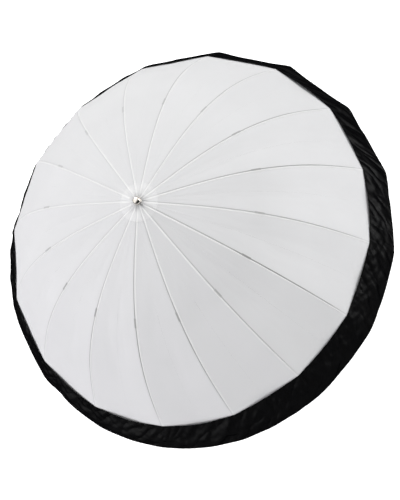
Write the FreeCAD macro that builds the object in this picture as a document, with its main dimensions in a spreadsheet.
import FreeCAD, Part
import math
import os

import Sketcher

# Folding umbrella reflector, opened, in millimetres. +Z runs up the shaft to the tip.
# The origin is the free end of the shaft, on its axis. The 16 ribs lie at azimuth
# 0, 22.5, 45 ... degrees, and rib 01 lies in the XZ plane, on the +X side.
# Profiles are drawn as (radius, height) in the XZ plane unless noted otherwise.

doc = FreeCAD.newDocument("umbrella_reflector")
Vector = FreeCAD.Vector

# ---------------------------------------------------------------- driving dimensions
sheet = doc.addObject("Spreadsheet::Sheet", "dims")
aliases = []


class Dim:
    """A number together with the sheet expression it comes from."""

    def __init__(self, value, text):
        self.value, self.text = float(value), text

    def __add__(self, other):
        other = dim(other)
        return Dim(self.value + other.value, f"({self.text} + {other.text})")

    def __sub__(self, other):
        other = dim(other)
        return Dim(self.value - other.value, f"({self.text} - {other.text})")

    def __mul__(self, other):
        other = dim(other)
        return Dim(self.value * other.value, f"({self.text} * {other.text})")

    def __neg__(self):
        return self * -1.0


def dim(number):
    """Wrap a plain number as a Dim, and pass a Dim through."""
    return number if isinstance(number, Dim) else Dim(number, f"({float(number):.6f})")


def cell(alias, number):
    """Write a number to the next row of the sheet and return it as a Dim."""
    aliases.append(alias)
    row = len(aliases)
    sheet.set(f"A{row}", alias)
    sheet.set(f"B{row}", f"{number:.6f}")
    sheet.setAlias(f"B{row}", alias)
    return Dim(number, f"dims.{alias}")


rib_count = cell("rib_count", 16)
dome_radius = cell("dome_radius", 650.0)  # canopy edge, at the ribs
apex_height = cell("apex_height", 960.0)  # canopy surface on the axis
fabric_thickness = cell("fabric_thickness", 0.6)
shaft_radius = cell("shaft_radius", 4.0)
shaft_bore = cell("shaft_bore_radius", 3.3)
shaft_length = cell("shaft_length", 970.0)
ring_radius = cell("pivot_ring_radius", 14.0)  # wire rings that carry ribs and stretchers
wire_radius = cell("ring_wire_radius", 0.5)
crown_height = cell("crown_height", 952.5)  # rib pivots
flange_radius = cell("flange_radius", 16.2)
slot_width = cell("slot_width", 2.8)
slot_root = cell("slot_root_radius", 11.6)
blade_thickness = cell("blade_thickness", 2.0)
eye_radius = cell("eye_radius", 2.1)
rib_inset = cell("rib_inset", 3.6)  # rib centre line below the canopy surface
rib_width = cell("rib_width", 3.2)
rib_height = cell("rib_height", 3.0)
rod_radius = cell("rod_radius", 1.75)
tongue_thickness = cell("tongue_thickness", 2.4)
outer_fork_slot = cell("outer_fork_slot", 2.8)
outer_fork_width = cell("outer_fork_width", 5.2)
stretcher_fork_slot = cell("stretcher_fork_slot", 5.6)
stretcher_fork_width = cell("stretcher_fork_width", 8.0)
stretcher_bar_width = cell("stretcher_bar_width", 2.2)
pin_radius = cell("joint_pin_radius", 1.0)
pin_hole_radius = cell("joint_hole_radius", 1.06)
lug_radius = cell("joint_lug_radius", 2.4)
runner_bore = cell("runner_bore_radius", 4.1)
sleeve_radius = cell("runner_sleeve_radius", 7.0)
sleeve_drop = cell("runner_sleeve_drop", 42.0)
opening_radius = cell("cover_opening_radius", 120.0)
cover_thickness = cell("cover_thickness", 1.2)
cap_radius = cell("tip_cap_radius", 12.0)

RIBS = int(rib_count.value)

# ---------------------------------------------------------------- the dome's curve
# Arc positions along a rib line are shares of the arc from the apex to the cover's hem.
JOINT_ARC = 0.48
HEM_ARC = 1.0
ROD_END_ARC = 1.140
EDGE_ARC = 1.15

STEPS_PER_ARC = 2000.0
STEPS = 2300  # reaches EDGE_ARC


def slope(arc):
    """Slope of the rib line below the horizontal, in degrees."""
    if arc <= 0.98:
        return 12.634 - 40.198 * arc + 231.578 * arc**2 - 143.841 * arc**3
    return 61.0 + 10.0 * (arc - 0.98)


def integrate_curve():
    """(radius, drop below the apex) at each step, in shares of the hem arc."""
    table = [(0.0, 0.0)]
    for k in range(STEPS):
        angle = math.radians(slope((k + 0.5) / STEPS_PER_ARC))
        radius, fall = table[-1]
        table.append((
            radius + math.cos(angle) / STEPS_PER_ARC,
            fall + math.sin(angle) / STEPS_PER_ARC,
        ))
    return table


CURVE = integrate_curve()
HEM_LENGTH = dome_radius.value / CURVE[-1][0]  # millimetres of arc from apex to hem


def dome(arc, inset=0.0):
    """(radius, height) on the rib line, moved inwards from the surface by inset."""
    place = min(max(arc * STEPS_PER_ARC, 0.0), STEPS - 1e-9)
    i = int(place)
    part = place - i
    radius = CURVE[i][0] * (1 - part) + CURVE[i + 1][0] * part
    fall = CURVE[i][1] * (1 - part) + CURVE[i + 1][1] * part
    angle = math.radians(slope(arc))
    return (
        radius * HEM_LENGTH - inset * math.sin(angle),
        apex_height.value - fall * HEM_LENGTH - inset * math.cos(angle),
    )


def dome_points(start, end, inset, count):
    """Sketch points at equal steps of arc between two arc positions."""
    return [
        Vector(*dome(start + (end - start) * i / count, inset), 0) for i in range(count + 1)
    ]


def near_joint(distance):
    """Arc position a number of millimetres outwards from the joint."""
    return JOINT_ARC + distance / HEM_LENGTH


# ---------------------------------------------------------------- linkage
joint_r, joint_z = dome(JOINT_ARC, rib_inset.value)
joint_radius = cell("joint_radius", joint_r)  # where stretcher, inner and outer rib meet
joint_height = cell("joint_height", joint_z)
joint_slope = math.radians(slope(JOINT_ARC))

# The stretcher is as long as the crown-to-joint distance, so its hook meets the runner's
# ring at the same radius as the rib's eye meets the crown's.
link_run = joint_r - ring_radius.value
link_rise = crown_height.value - joint_z
link_length = math.hypot(link_run, link_rise)
open_angle = math.atan2(link_rise, link_run)
FOLDED_ANGLE = math.radians(85.3)
runner_height = cell("runner_height", 2 * joint_z - crown_height.value)
runner_travel = cell(
    "runner_travel", 2 * link_length * (math.sin(FOLDED_ANGLE) - math.sin(open_angle))
)

joint = (joint_radius, joint_height)
crown_pivot = (ring_radius, crown_height)
runner_pivot = (ring_radius, runner_height)

# ---------------------------------------------------------------- sketch shapes
# Each of these returns a function that draws the shape into a sketch.


def constrain(sketch, value, *reference):
    """Add a constraint of a given value, tied to the sheet where the value is."""
    index = sketch.addConstraint(Sketcher.Constraint(*reference, value.value))
    if "dims." in value.text:
        sketch.setExpression(f"Constraints[{index}]", value.text)


def polygon(points):
    """A closed outline whose corners are held by distances from the origin."""
    corners = [(dim(x), dim(y)) for x, y in points]
    count = len(corners)

    def draw(sketch):
        first = sketch.GeometryCount
        ends = [Vector(x.value, y.value, 0) for x, y in corners]
        for i in range(count):
            sketch.addGeometry(Part.LineSegment(ends[i], ends[(i + 1) % count]), False)
        for i in range(count):
            following = first + (i + 1) % count
            sketch.addConstraint(
                Sketcher.Constraint("Coincident", first + i, 2, following, 1)
            )
        for i, (x, y) in enumerate(corners):
            constrain(sketch, x, "DistanceX", -1, 1, first + i, 1)
            constrain(sketch, y, "DistanceY", -1, 1, first + i, 1)

    return draw


def rectangle(x_min, y_min, x_max, y_max):
    return polygon([(x_min, y_min), (x_max, y_min), (x_max, y_max), (x_min, y_max)])


def circle(centre, radius):
    x, y, radius = dim(centre[0]), dim(centre[1]), dim(radius)

    def draw(sketch):
        centre_point = Vector(x.value, y.value, 0)
        index = sketch.addGeometry(
            Part.Circle(centre_point, Vector(0, 0, 1), radius.value), False
        )
        constrain(sketch, x, "DistanceX", -1, 1, index, 3)
        constrain(sketch, y, "DistanceY", -1, 1, index, 3)
        constrain(sketch, radius, "Radius", index)

    return draw


def spline(points):
    """A curve through the points, fixed in place."""

    def draw(sketch):
        curve = Part.BSplineCurve()
        curve.interpolate(points)
        index = sketch.addGeometry(curve, False)
        sketch.addConstraint(Sketcher.Constraint("Block", index))

    return draw


def strip(start, end, top, low):
    """A closed band along the dome, from top to low millimetres below the surface."""
    upper = dome_points(start, end, top, 14)
    lower = dome_points(start, end, low, 14)

    def draw(sketch):
        spline(upper)(sketch)
        spline(lower)(sketch)
        for i in (0, -1):
            sketch.addGeometry(Part.LineSegment(upper[i], lower[i]), False)

    return draw


def along(anchor, angle, points):
    """Turn points given as (distance along angle, distance to its left) into outline points."""
    x, y = dim(anchor[0]), dim(anchor[1])
    c, s = math.cos(angle), math.sin(angle)
    return [(x + (u * c - v * s), y + (u * s + v * c)) for u, v in points]


# ---------------------------------------------------------------- features


def bind(obj, prop, value):
    value = dim(value)
    setattr(obj, prop, value.value)
    if "dims." in value.text:
        obj.setExpression(prop, value.text)


def set_height(obj, height):
    """Lift an object up the axis by a height tied to the sheet."""
    obj.Placement = FreeCAD.Placement(Vector(0, 0, height.value), FreeCAD.Rotation())
    obj.setExpression("Placement.Base.z", height.text)


def new_body(name):
    return doc.addObject("PartDesign::Body", name)


def origin_feature(body, role):
    return next(f for f in body.Origin.OriginFeatures if f.Role == role)


def new_sketch(body, name, *shapes, role="XZ_Plane", offset=0.0):
    sketch = body.newObject("Sketcher::SketchObject", name)
    sketch.AttachmentSupport = [(origin_feature(body, role), "")]
    sketch.MapMode = "FlatFace"
    if offset:
        sketch.AttachmentOffset = FreeCAD.Placement(
            Vector(0, 0, offset), FreeCAD.Rotation()
        )
    for draw in shapes:
        draw(sketch)
    return sketch


def extrude(kind, body, name, length, shapes, midplane, **where):
    sketch = new_sketch(body, f"{name}_sketch", *shapes, **where)
    feature = body.newObject(kind, name)
    feature.Profile = sketch
    if midplane:
        feature.Midplane = True
    bind(feature, "Length", length)


def pad(body, name, length, *shapes, midplane=True, **where):
    extrude("PartDesign::Pad", body, name, length, shapes, midplane, **where)


def revolve(body, name, shape, kind="PartDesign::Revolution"):
    sketch = new_sketch(body, f"{name}_sketch", shape)
    feature = body.newObject(kind, name)
    feature.Profile = sketch
    feature.ReferenceAxis = (sketch, ["V_Axis"])
    feature.Angle = 360


def volume(body):
    doc.recompute()
    return body.Shape.Volume


def require_cut(body, name, before):
    if not volume(body) < before - 1e-6:
        raise RuntimeError(f"{name} cuts nothing")


def pocket(body, name, length, shape):
    before = volume(body)
    extrude("PartDesign::Pocket", body, name, length, [shape], True)
    require_cut(body, name, before)


def groove(body, name, shape):
    before = volume(body)
    revolve(body, name, shape, "PartDesign::Groove")
    require_cut(body, name, before)


# ---------------------------------------------------------------- shaft and catch
low_groove = runner_height - sleeve_drop - runner_travel - 2.0
high_groove = runner_height + 13.0
GROOVE_WIDTH = 1.6
STOP_RING_RADIUS = 5.3
STOP_RING_GAP = 0.1  # on each side of a stop ring in its groove

catch_height = runner_height - sleeve_drop - 25.0
catch_pivot = (-1.0, catch_height)


def make_shaft():
    body = new_body("shaft")
    pad(
        body, "tube", shaft_length,
        circle((0, 0), shaft_radius), circle((0, 0), shaft_bore),
        midplane=False, role="XY_Plane",
    )
    for name, low in (("low_groove", low_groove), ("high_groove", high_groove)):
        groove(body, name, rectangle(
            shaft_radius - 0.25, low, shaft_radius + 1, low + GROOVE_WIDTH
        ))
    # window for the catch, on the +X side, and the small cross pin the catch turns on
    pocket(body, "window", 1.9, rectangle(1.0, catch_height + 3.5, 6.0, catch_height + 25.6))
    pad(body, "catch_pin", 7.3, circle(catch_pivot, 0.6))
    return body


def make_catch():
    """A flat plate that leans out of the window under the runner."""
    thickness = 1.3
    body = new_body("catch_spring")
    pad(body, "catch_boss", thickness, circle(catch_pivot, 1.6))
    # x, height above the catch pin
    outline = [
        (-2.2, 0.8),
        (0.2, 0.8),
        (2.6, 6.0),
        (3.8, 9.0),
        (6.2, 20.5),
        (6.2, 24.4),
        (1.2, 24.4),
        (0.2, 10.0),
    ]
    pad(body, "catch_blade", thickness, polygon([(x, catch_height + z) for x, z in outline]))
    pocket(body, "catch_hole", 4.0, circle(catch_pivot, 0.66))
    return body


def make_stop_rings():
    """Snap rings in the shaft's grooves, which stop the runner."""
    rings = []
    for name, low in (("low_ring", low_groove), ("high_ring", high_groove)):
        ring = new_body(name)
        revolve(ring, f"{name}_turn", rectangle(
            shaft_radius - 0.2, low + STOP_RING_GAP,
            STOP_RING_RADIUS, low + (GROOVE_WIDTH - STOP_RING_GAP),
        ))
        rings.append(ring)
    both = doc.addObject("Part::Compound", "stop_rings")
    both.Links = rings
    return both


# ---------------------------------------------------------------- hubs on the shaft
FIT = 0.03  # gap between the shaft and the pieces fixed on it


def make_tip_cap():
    body = new_body("tip_cap")
    z = apex_height
    revolve(body, "cap_turn", polygon([
        (shaft_radius + FIT, z),
        (cap_radius - 1.0, z),
        (cap_radius, z + 1.0),
        (cap_radius, z + 7.0),
        (cap_radius * 0.955, z + 10.2),
        (cap_radius * 0.83, z + 13.3),
        (cap_radius * 0.64, z + 15.8),
        (cap_radius * 0.40, z + 17.4),
        (0.0, z + 18.2),
        (0.0, z + 11.5),
        (shaft_radius + FIT, z + 11.5),
    ]))
    return body


def cut_slots(body, name, height, half_depth):
    """Slots for the blades, one at each rib, cut through the flange from outside."""
    doc.recompute()
    half_width = slot_width * 0.5
    sketch = new_sketch(
        body, f"{name}_sketch",
        rectangle(slot_root, -half_width, flange_radius + 2, half_width),
        role="XY_Plane", offset=height.value - half_depth,
    )
    slot = body.newObject("PartDesign::Pocket", name)
    slot.Profile = sketch
    slot.Reversed = True
    slot.Length = 2 * half_depth
    doc.recompute()
    pattern = body.newObject("PartDesign::PolarPattern", f"{name}_pattern")
    pattern.Originals = [slot]
    pattern.Axis = (origin_feature(body, "Z_Axis"), [""])
    pattern.Angle = 360
    pattern.Occurrences = RIBS
    pattern.setExpression("Occurrences", rib_count.text)
    body.Tip = pattern
    doc.recompute()


def make_hub(name, outline, pivot, slot_half_depth):
    """A turned hub with a slot for each blade and a groove for its wire ring."""
    body = new_body(name)
    revolve(body, f"{name}_turn", polygon(outline))
    cut_slots(body, f"{name}_slots", pivot[1], slot_half_depth)
    groove(body, f"{name}_groove", circle(pivot, wire_radius + 0.06))
    return body


def make_crown():
    z = crown_height
    outline = [
        (shaft_radius + FIT, z - 15.0),
        (7.6, z - 15.0),
        (8.6, z - 13.5),
        (8.6, z - 6.0),
        (flange_radius - 4.6, z - 3.0),
        (flange_radius - 1.2, z - 2.6),
        (flange_radius, z - 1.6),
        (flange_radius, z + 1.2),
        (flange_radius - 1.0, z + 2.2),
        (9.0, z + 2.6),
        (8.0, z + 3.8),
        (shaft_radius + FIT, z + 3.8),
    ]
    return make_hub("crown", outline, crown_pivot, 4.0)


def make_runner():
    z = runner_height
    foot = z - sleeve_drop
    outline = [
        (runner_bore, foot),
        (sleeve_radius - 0.6, foot),
        (sleeve_radius + 1.2, foot + 1.2),
        (sleeve_radius + 1.2, foot + 5.0),
        (sleeve_radius, foot + 6.5),
        (sleeve_radius, z - 12.0),
        (9.2, z - 7.0),
        (flange_radius - 4.6, z - 3.0),
        (flange_radius - 1.0, z - 2.6),
        (flange_radius, z - 1.6),
        (flange_radius, z + 1.6),
        (flange_radius - 1.0, z + 2.6),
        (flange_radius - 4.6, z + 3.0),
        (8.2, z + 4.5),
        (8.2, z + 11.0),
        (7.4, z + 12.0),
        (runner_bore, z + 12.0),
    ]
    return make_hub("runner", outline, runner_pivot, 4.5)


def make_wire(name, height):
    ring = doc.addObject("Part::Torus", name)
    bind(ring, "Radius1", ring_radius)
    bind(ring, "Radius2", wire_radius)
    set_height(ring, height)
    return ring


# ---------------------------------------------------------------- ribs and stretcher
def make_inner_rib():
    """A folded steel channel from the crown to the joint."""
    body = new_body("rib_inner_01")
    inset = rib_inset.value
    half = rib_height.value / 2
    start_arc = 30.0 / HEM_LENGTH
    pad(
        body, "channel", rib_width,
        strip(start_arc, near_joint(-7.0), inset - half, inset + half),
    )
    # the hollow is open below
    pocket(body, "channel_hollow", rib_width - 1.1, strip(
        start_arc + 6 / HEM_LENGTH, near_joint(-13.0), inset - half + 0.6, inset + half + 1.0
    ))

    # blade and eye on the crown's wire
    pad(body, "eye", blade_thickness, circle(crown_pivot, eye_radius))
    root_r, root_z = dome(start_arc + 2 / HEM_LENGTH, inset)
    pad(body, "blade", blade_thickness, polygon([
        (ring_radius + 1.0, crown_height + 1.5),
        (ring_radius + 1.0, crown_height - 1.6),
        (root_r, root_z - half + 0.2),
        (root_r + 2.0, root_z - half + 0.1),
        (root_r + 2.0, root_z + half - 0.8),
        (root_r, root_z + half - 0.3),
    ]))
    pocket(body, "eye_hole", 6.0, circle(crown_pivot, wire_radius + 0.1))

    # tongue and rivet at the joint
    pad(body, "tongue_lug", tongue_thickness, circle(joint, lug_radius))
    inwards = math.pi - joint_slope
    pad(body, "tongue_arm", tongue_thickness, polygon(along(
        joint, inwards, [(1.0, -1.4), (9.0, -1.3), (9.0, 1.3), (1.0, 1.4)]
    )))
    rivet_length = stretcher_fork_width + 1.2
    pad(body, "rivet", rivet_length, circle(joint, pin_radius))
    rivet_end = rivet_length.value / 2
    head = 0.5
    # Sketch offsets run towards -Y, which is the left as seen from the rim.
    for side, offset in (("left", rivet_end - head), ("right", -rivet_end)):
        pad(
            body, f"rivet_head_{side}", head, circle(joint, pin_radius + 0.8),
            midplane=False, offset=offset,
        )
    doc.recompute()
    return body


def make_outer_rib():
    """A round rod from the joint to the canopy edge, with a fork at the joint."""
    body = new_body("rib_outer_01")
    pad(body, "fork_lug", outer_fork_width, circle(joint, lug_radius))
    # the arm's upper side falls away from the canopy, which bends down past the joint
    pad(body, "fork_arm", outer_fork_width, polygon(along(
        joint, -joint_slope, [(0.0, 2.2), (0.0, -2.2), (15.0, -2.2), (15.0, 1.25)]
    )))
    pocket(body, "fork_slot", outer_fork_slot, circle(joint, lug_radius + 3.6))
    pocket(body, "fork_hole", 12.0, circle(joint, pin_hole_radius))

    rod_points = dome_points(near_joint(9.0), ROD_END_ARC, rib_inset.value, 16)
    spine = new_sketch(body, "rod_spine", spline(rod_points))
    doc.recompute()
    section = body.newObject("Sketcher::SketchObject", "rod_section")
    section.AttachmentSupport = [(spine, "Edge1")]
    section.MapMode = "NormalToEdge"
    section.MapPathParameter = 0.0
    circle((0, 0), rod_radius)(section)
    doc.recompute()
    rod = body.newObject("PartDesign::AdditivePipe", "rod")
    rod.Profile = section
    rod.Spine = (spine, ["Edge1"])
    doc.recompute()

    # a square block around the rod's end, at the canopy's edge
    tip_half = 2.4
    pad(body, "tip", 2 * tip_half, polygon(along(
        dome(ROD_END_ARC, rib_inset.value),
        -math.radians(slope(ROD_END_ARC)),
        [(-9.0, tip_half), (-9.0, -tip_half), (3.0, -tip_half), (3.0, tip_half)],
    )))
    doc.recompute()
    return body


def make_stretcher():
    """A channel from the runner's wire to the joint."""
    body = new_body("stretcher_01")

    def from_wire(points):
        """Outline from (distance along the stretcher from its wire, distance above)."""
        return polygon(along(runner_pivot, open_angle, points))

    bar_end = link_length - 13
    hollow_end = link_length - 20
    pad(body, "bar", stretcher_bar_width, from_wire(
        [(20, -1.5), (bar_end, -1.5), (bar_end, 1.5), (20, 1.5)]
    ))
    pocket(body, "bar_hollow", stretcher_bar_width - 1.0, from_wire(
        [(26, -2.2), (hollow_end, -2.2), (hollow_end, 0.9), (26, 0.9)]
    ))

    # hook that holds the runner's wire: open above and along the stretcher, so the wire
    # can leave it while the umbrella folds
    pad(body, "hook", blade_thickness, circle(runner_pivot, eye_radius))
    pad(body, "hook_blade", blade_thickness, from_wire(
        [(0, -2.1), (21, -1.5), (21, 1.5), (16, 0.8), (8, -0.7), (0, -0.7)]
    ))
    seat = 0.62
    pocket(body, "hook_hole", 6.0, circle(runner_pivot, wire_radius + 0.12))
    pocket(body, "hook_mouth", 6.0, from_wire(
        [(-seat, 0), (0, -seat), (7, -seat), (7, 5), (-seat, 5)]
    ))

    # fork around the joint
    pad(body, "fork", stretcher_fork_width, circle(joint, lug_radius))
    pad(body, "fork_arm2", stretcher_fork_width, polygon(along(
        joint, open_angle + math.pi, [(0.0, 2.1), (0.0, -2.1), (18.0, -1.8), (18.0, 1.8)]
    )))
    pocket(body, "fork_slot2", stretcher_fork_slot, circle(joint, lug_radius + 9.6))
    pocket(body, "fork_hole2", 14.0, circle(joint, pin_hole_radius))
    return body


def turned_copies(base):
    """The base, numbered 01, and its copies at the other ribs."""
    stem = base.Label[:-3]
    pieces = [base]
    for k in range(1, RIBS):
        copy = doc.addObject("Part::Compound", f"{stem}_{k + 1:02d}")
        copy.Links = [base]
        copy.Placement = FreeCAD.Placement(
            Vector(0, 0, 0), FreeCAD.Rotation(Vector(0, 0, 1), 360 / RIBS * k)
        )
        copy.setExpression("Placement.Rotation.Angle", f"360 / dims.rib_count * {k}")
        pieces.append(copy)
    return pieces


# ---------------------------------------------------------------- sewn pieces
# Shells with one side per rib gap, lofted through rings given as (radius, height).


def ring_section(name, radius, height):
    """A regular polygon with its corners over the ribs."""
    ring = doc.addObject("Part::RegularPolygon", name)
    ring.Polygon = RIBS
    ring.setExpression("Polygon", rib_count.text)
    bind(ring, "Circumradius", dome_radius * (radius / dome_radius.value))
    set_height(ring, apex_height - (apex_height.value - height))
    return ring


def subtract(name, base, tool):
    result = doc.addObject("Part::Cut", name)
    result.Base, result.Tool = base, tool
    return result


def hollow_loft(name, stem, outer, inner):
    """A loft through the outer rings less a loft through the inner ones."""
    solids = []
    for side, rings in (("outer", outer), ("inner", inner)):
        sections = [
            ring_section(f"{stem}_{side}_{i:02d}", radius, height)
            for i, (radius, height) in enumerate(rings)
        ]
        solid = doc.addObject("Part::Loft", f"{stem}_{side}")
        solid.Sections = sections
        solid.Solid = True
        solid.Ruled = True
        solids.append(solid)
    return subtract(name, *solids)


def cut_opening(name, skin, radius, middle, height):
    """Cut a round opening on the axis, with a cylinder centred on a height."""
    core = doc.addObject("Part::Cylinder", f"{name}_opening")
    bind(core, "Radius", radius)
    core.Height = height
    core.Placement = FreeCAD.Placement(Vector(0, 0, middle - height / 2), FreeCAD.Rotation())
    return subtract(name, skin, core)


def dome_shell(name, stations, top, low, edge_height, hole_radius):
    """A shell between the insets top and low, down to edge_height."""
    sides = []
    # the inner solid runs on below the edge, so that the shell is open there
    for inset, end_height in ((top, edge_height), (low, edge_height - 6.0)):
        rings = [dome(arc, inset) for arc in stations]
        (r1, z1), (r2, z2) = rings[-2:]
        run = (r2 - r1) / (z1 - z2)
        rings[-1] = (r2 + run * (z2 - end_height), end_height)
        sides.append(rings)
    skin = hollow_loft(f"{name}_skin", name, *sides)
    return cut_opening(name, skin, hole_radius, apex_height.value, 300)


# arc positions of the rings
CANOPY_STATIONS = [
    0.008, 0.06, 0.13, 0.20, 0.27, 0.34, 0.41, 0.48, 0.55,
    0.62, 0.69, 0.76, 0.83, 0.90, 0.97, 1.06, 1.15,
]
PATCH_STATIONS = [0.008, 0.022, 0.044, 0.06, 0.074, 0.083]

edge_r, edge_z = dome(EDGE_ARC)
hem_z = dome(HEM_ARC)[1]

# faces of the cover's skirt, outwards from the canopy's surface
SKIRT_INSIDE = 1.0
SKIRT_OUTSIDE = SKIRT_INSIDE + cover_thickness.value


def make_canopy():
    return dome_shell(
        "canopy", CANOPY_STATIONS, 0.0, fabric_thickness.value, edge_z, shaft_radius + 4.0
    )


def make_top_patch():
    """A small shell over the canopy, around the tip."""
    top = -1.0
    edge_height = dome(PATCH_STATIONS[-1], top)[1]
    return dome_shell("top_patch", PATCH_STATIONS, top, -0.4, edge_height, shaft_radius + 4.5)


def skirt_radius(height, offset):
    """Radius of the skirt at a height, offset outwards from the canopy's surface."""
    r1, z1 = dome(HEM_ARC, -offset)
    r2, z2 = dome(EDGE_ARC, -offset)
    return r1 + (r2 - r1) * (z1 - height) / (z1 - z2)


def make_cover():
    """A face across the mouth with a round opening, and a skirt up over the rib tips."""
    face_top = edge_z - 5.6
    outer = [
        (skirt_radius(hem_z, SKIRT_OUTSIDE), hem_z),
        (skirt_radius(edge_z, SKIRT_OUTSIDE), edge_z),
        (skirt_radius(edge_z - 3.0, SKIRT_OUTSIDE) - 0.4, edge_z - 3.4),
        (edge_r - 1.5, face_top - cover_thickness.value),
    ]
    # starts above the hem, so that the skirt is open at the top
    inner = [
        (skirt_radius(hem_z + 8.0, SKIRT_INSIDE), hem_z + 8.0),
        (skirt_radius(edge_z, SKIRT_INSIDE), edge_z),
        (skirt_radius(edge_z - 2.4, SKIRT_INSIDE) - 0.4, edge_z - 2.6),
        (edge_r - 1.8, face_top),
    ]
    skin = hollow_loft("cover_skin", "cover", outer, inner)
    return cut_opening("cover", skin, opening_radius, face_top, 40)


def make_elastic():
    """Elastic cord of the hem, just above the skirt's upper edge."""
    z = hem_z + 2.4
    half = 0.9
    taper = 1.1
    radius = (skirt_radius(z, SKIRT_INSIDE) + skirt_radius(z, SKIRT_OUTSIDE)) / 2 + half
    outer = [(radius + half, z - 1.0), (radius + half - taper, z + 1.0)]
    inner = [(radius - half + taper, z - 3.0), (radius - half - 2 * taper, z + 3.0)]
    return hollow_loft("cover_elastic", "cord", outer, inner)


# ---------------------------------------------------------------- build
parts = [
    make_shaft(),
    make_catch(),
    make_stop_rings(),
    make_tip_cap(),
    make_crown(),
    make_wire("crown_wire", crown_height),
    make_runner(),
    make_wire("runner_wire", runner_height),
]
for base in [make_inner_rib(), make_outer_rib(), make_stretcher()]:
    parts += turned_copies(base)
parts += [make_canopy(), make_top_patch(), make_cover(), make_elastic()]

# ---------------------------------------------------------------- check and write
doc.recompute()
failed = [o.Name for o in doc.Objects if "Invalid" in o.State or "Error" in o.State]
if failed:
    raise RuntimeError(f"failed objects: {failed}")
for part in parts:
    shape = part.Shape
    if shape.isNull() or not shape.isValid() or not shape.Solids:
        raise RuntimeError(f"bad shape: {part.Label}")

os.makedirs("parts", exist_ok=True)
for part in parts:
    part.Shape.exportStep(f"parts/{part.Label}.step")
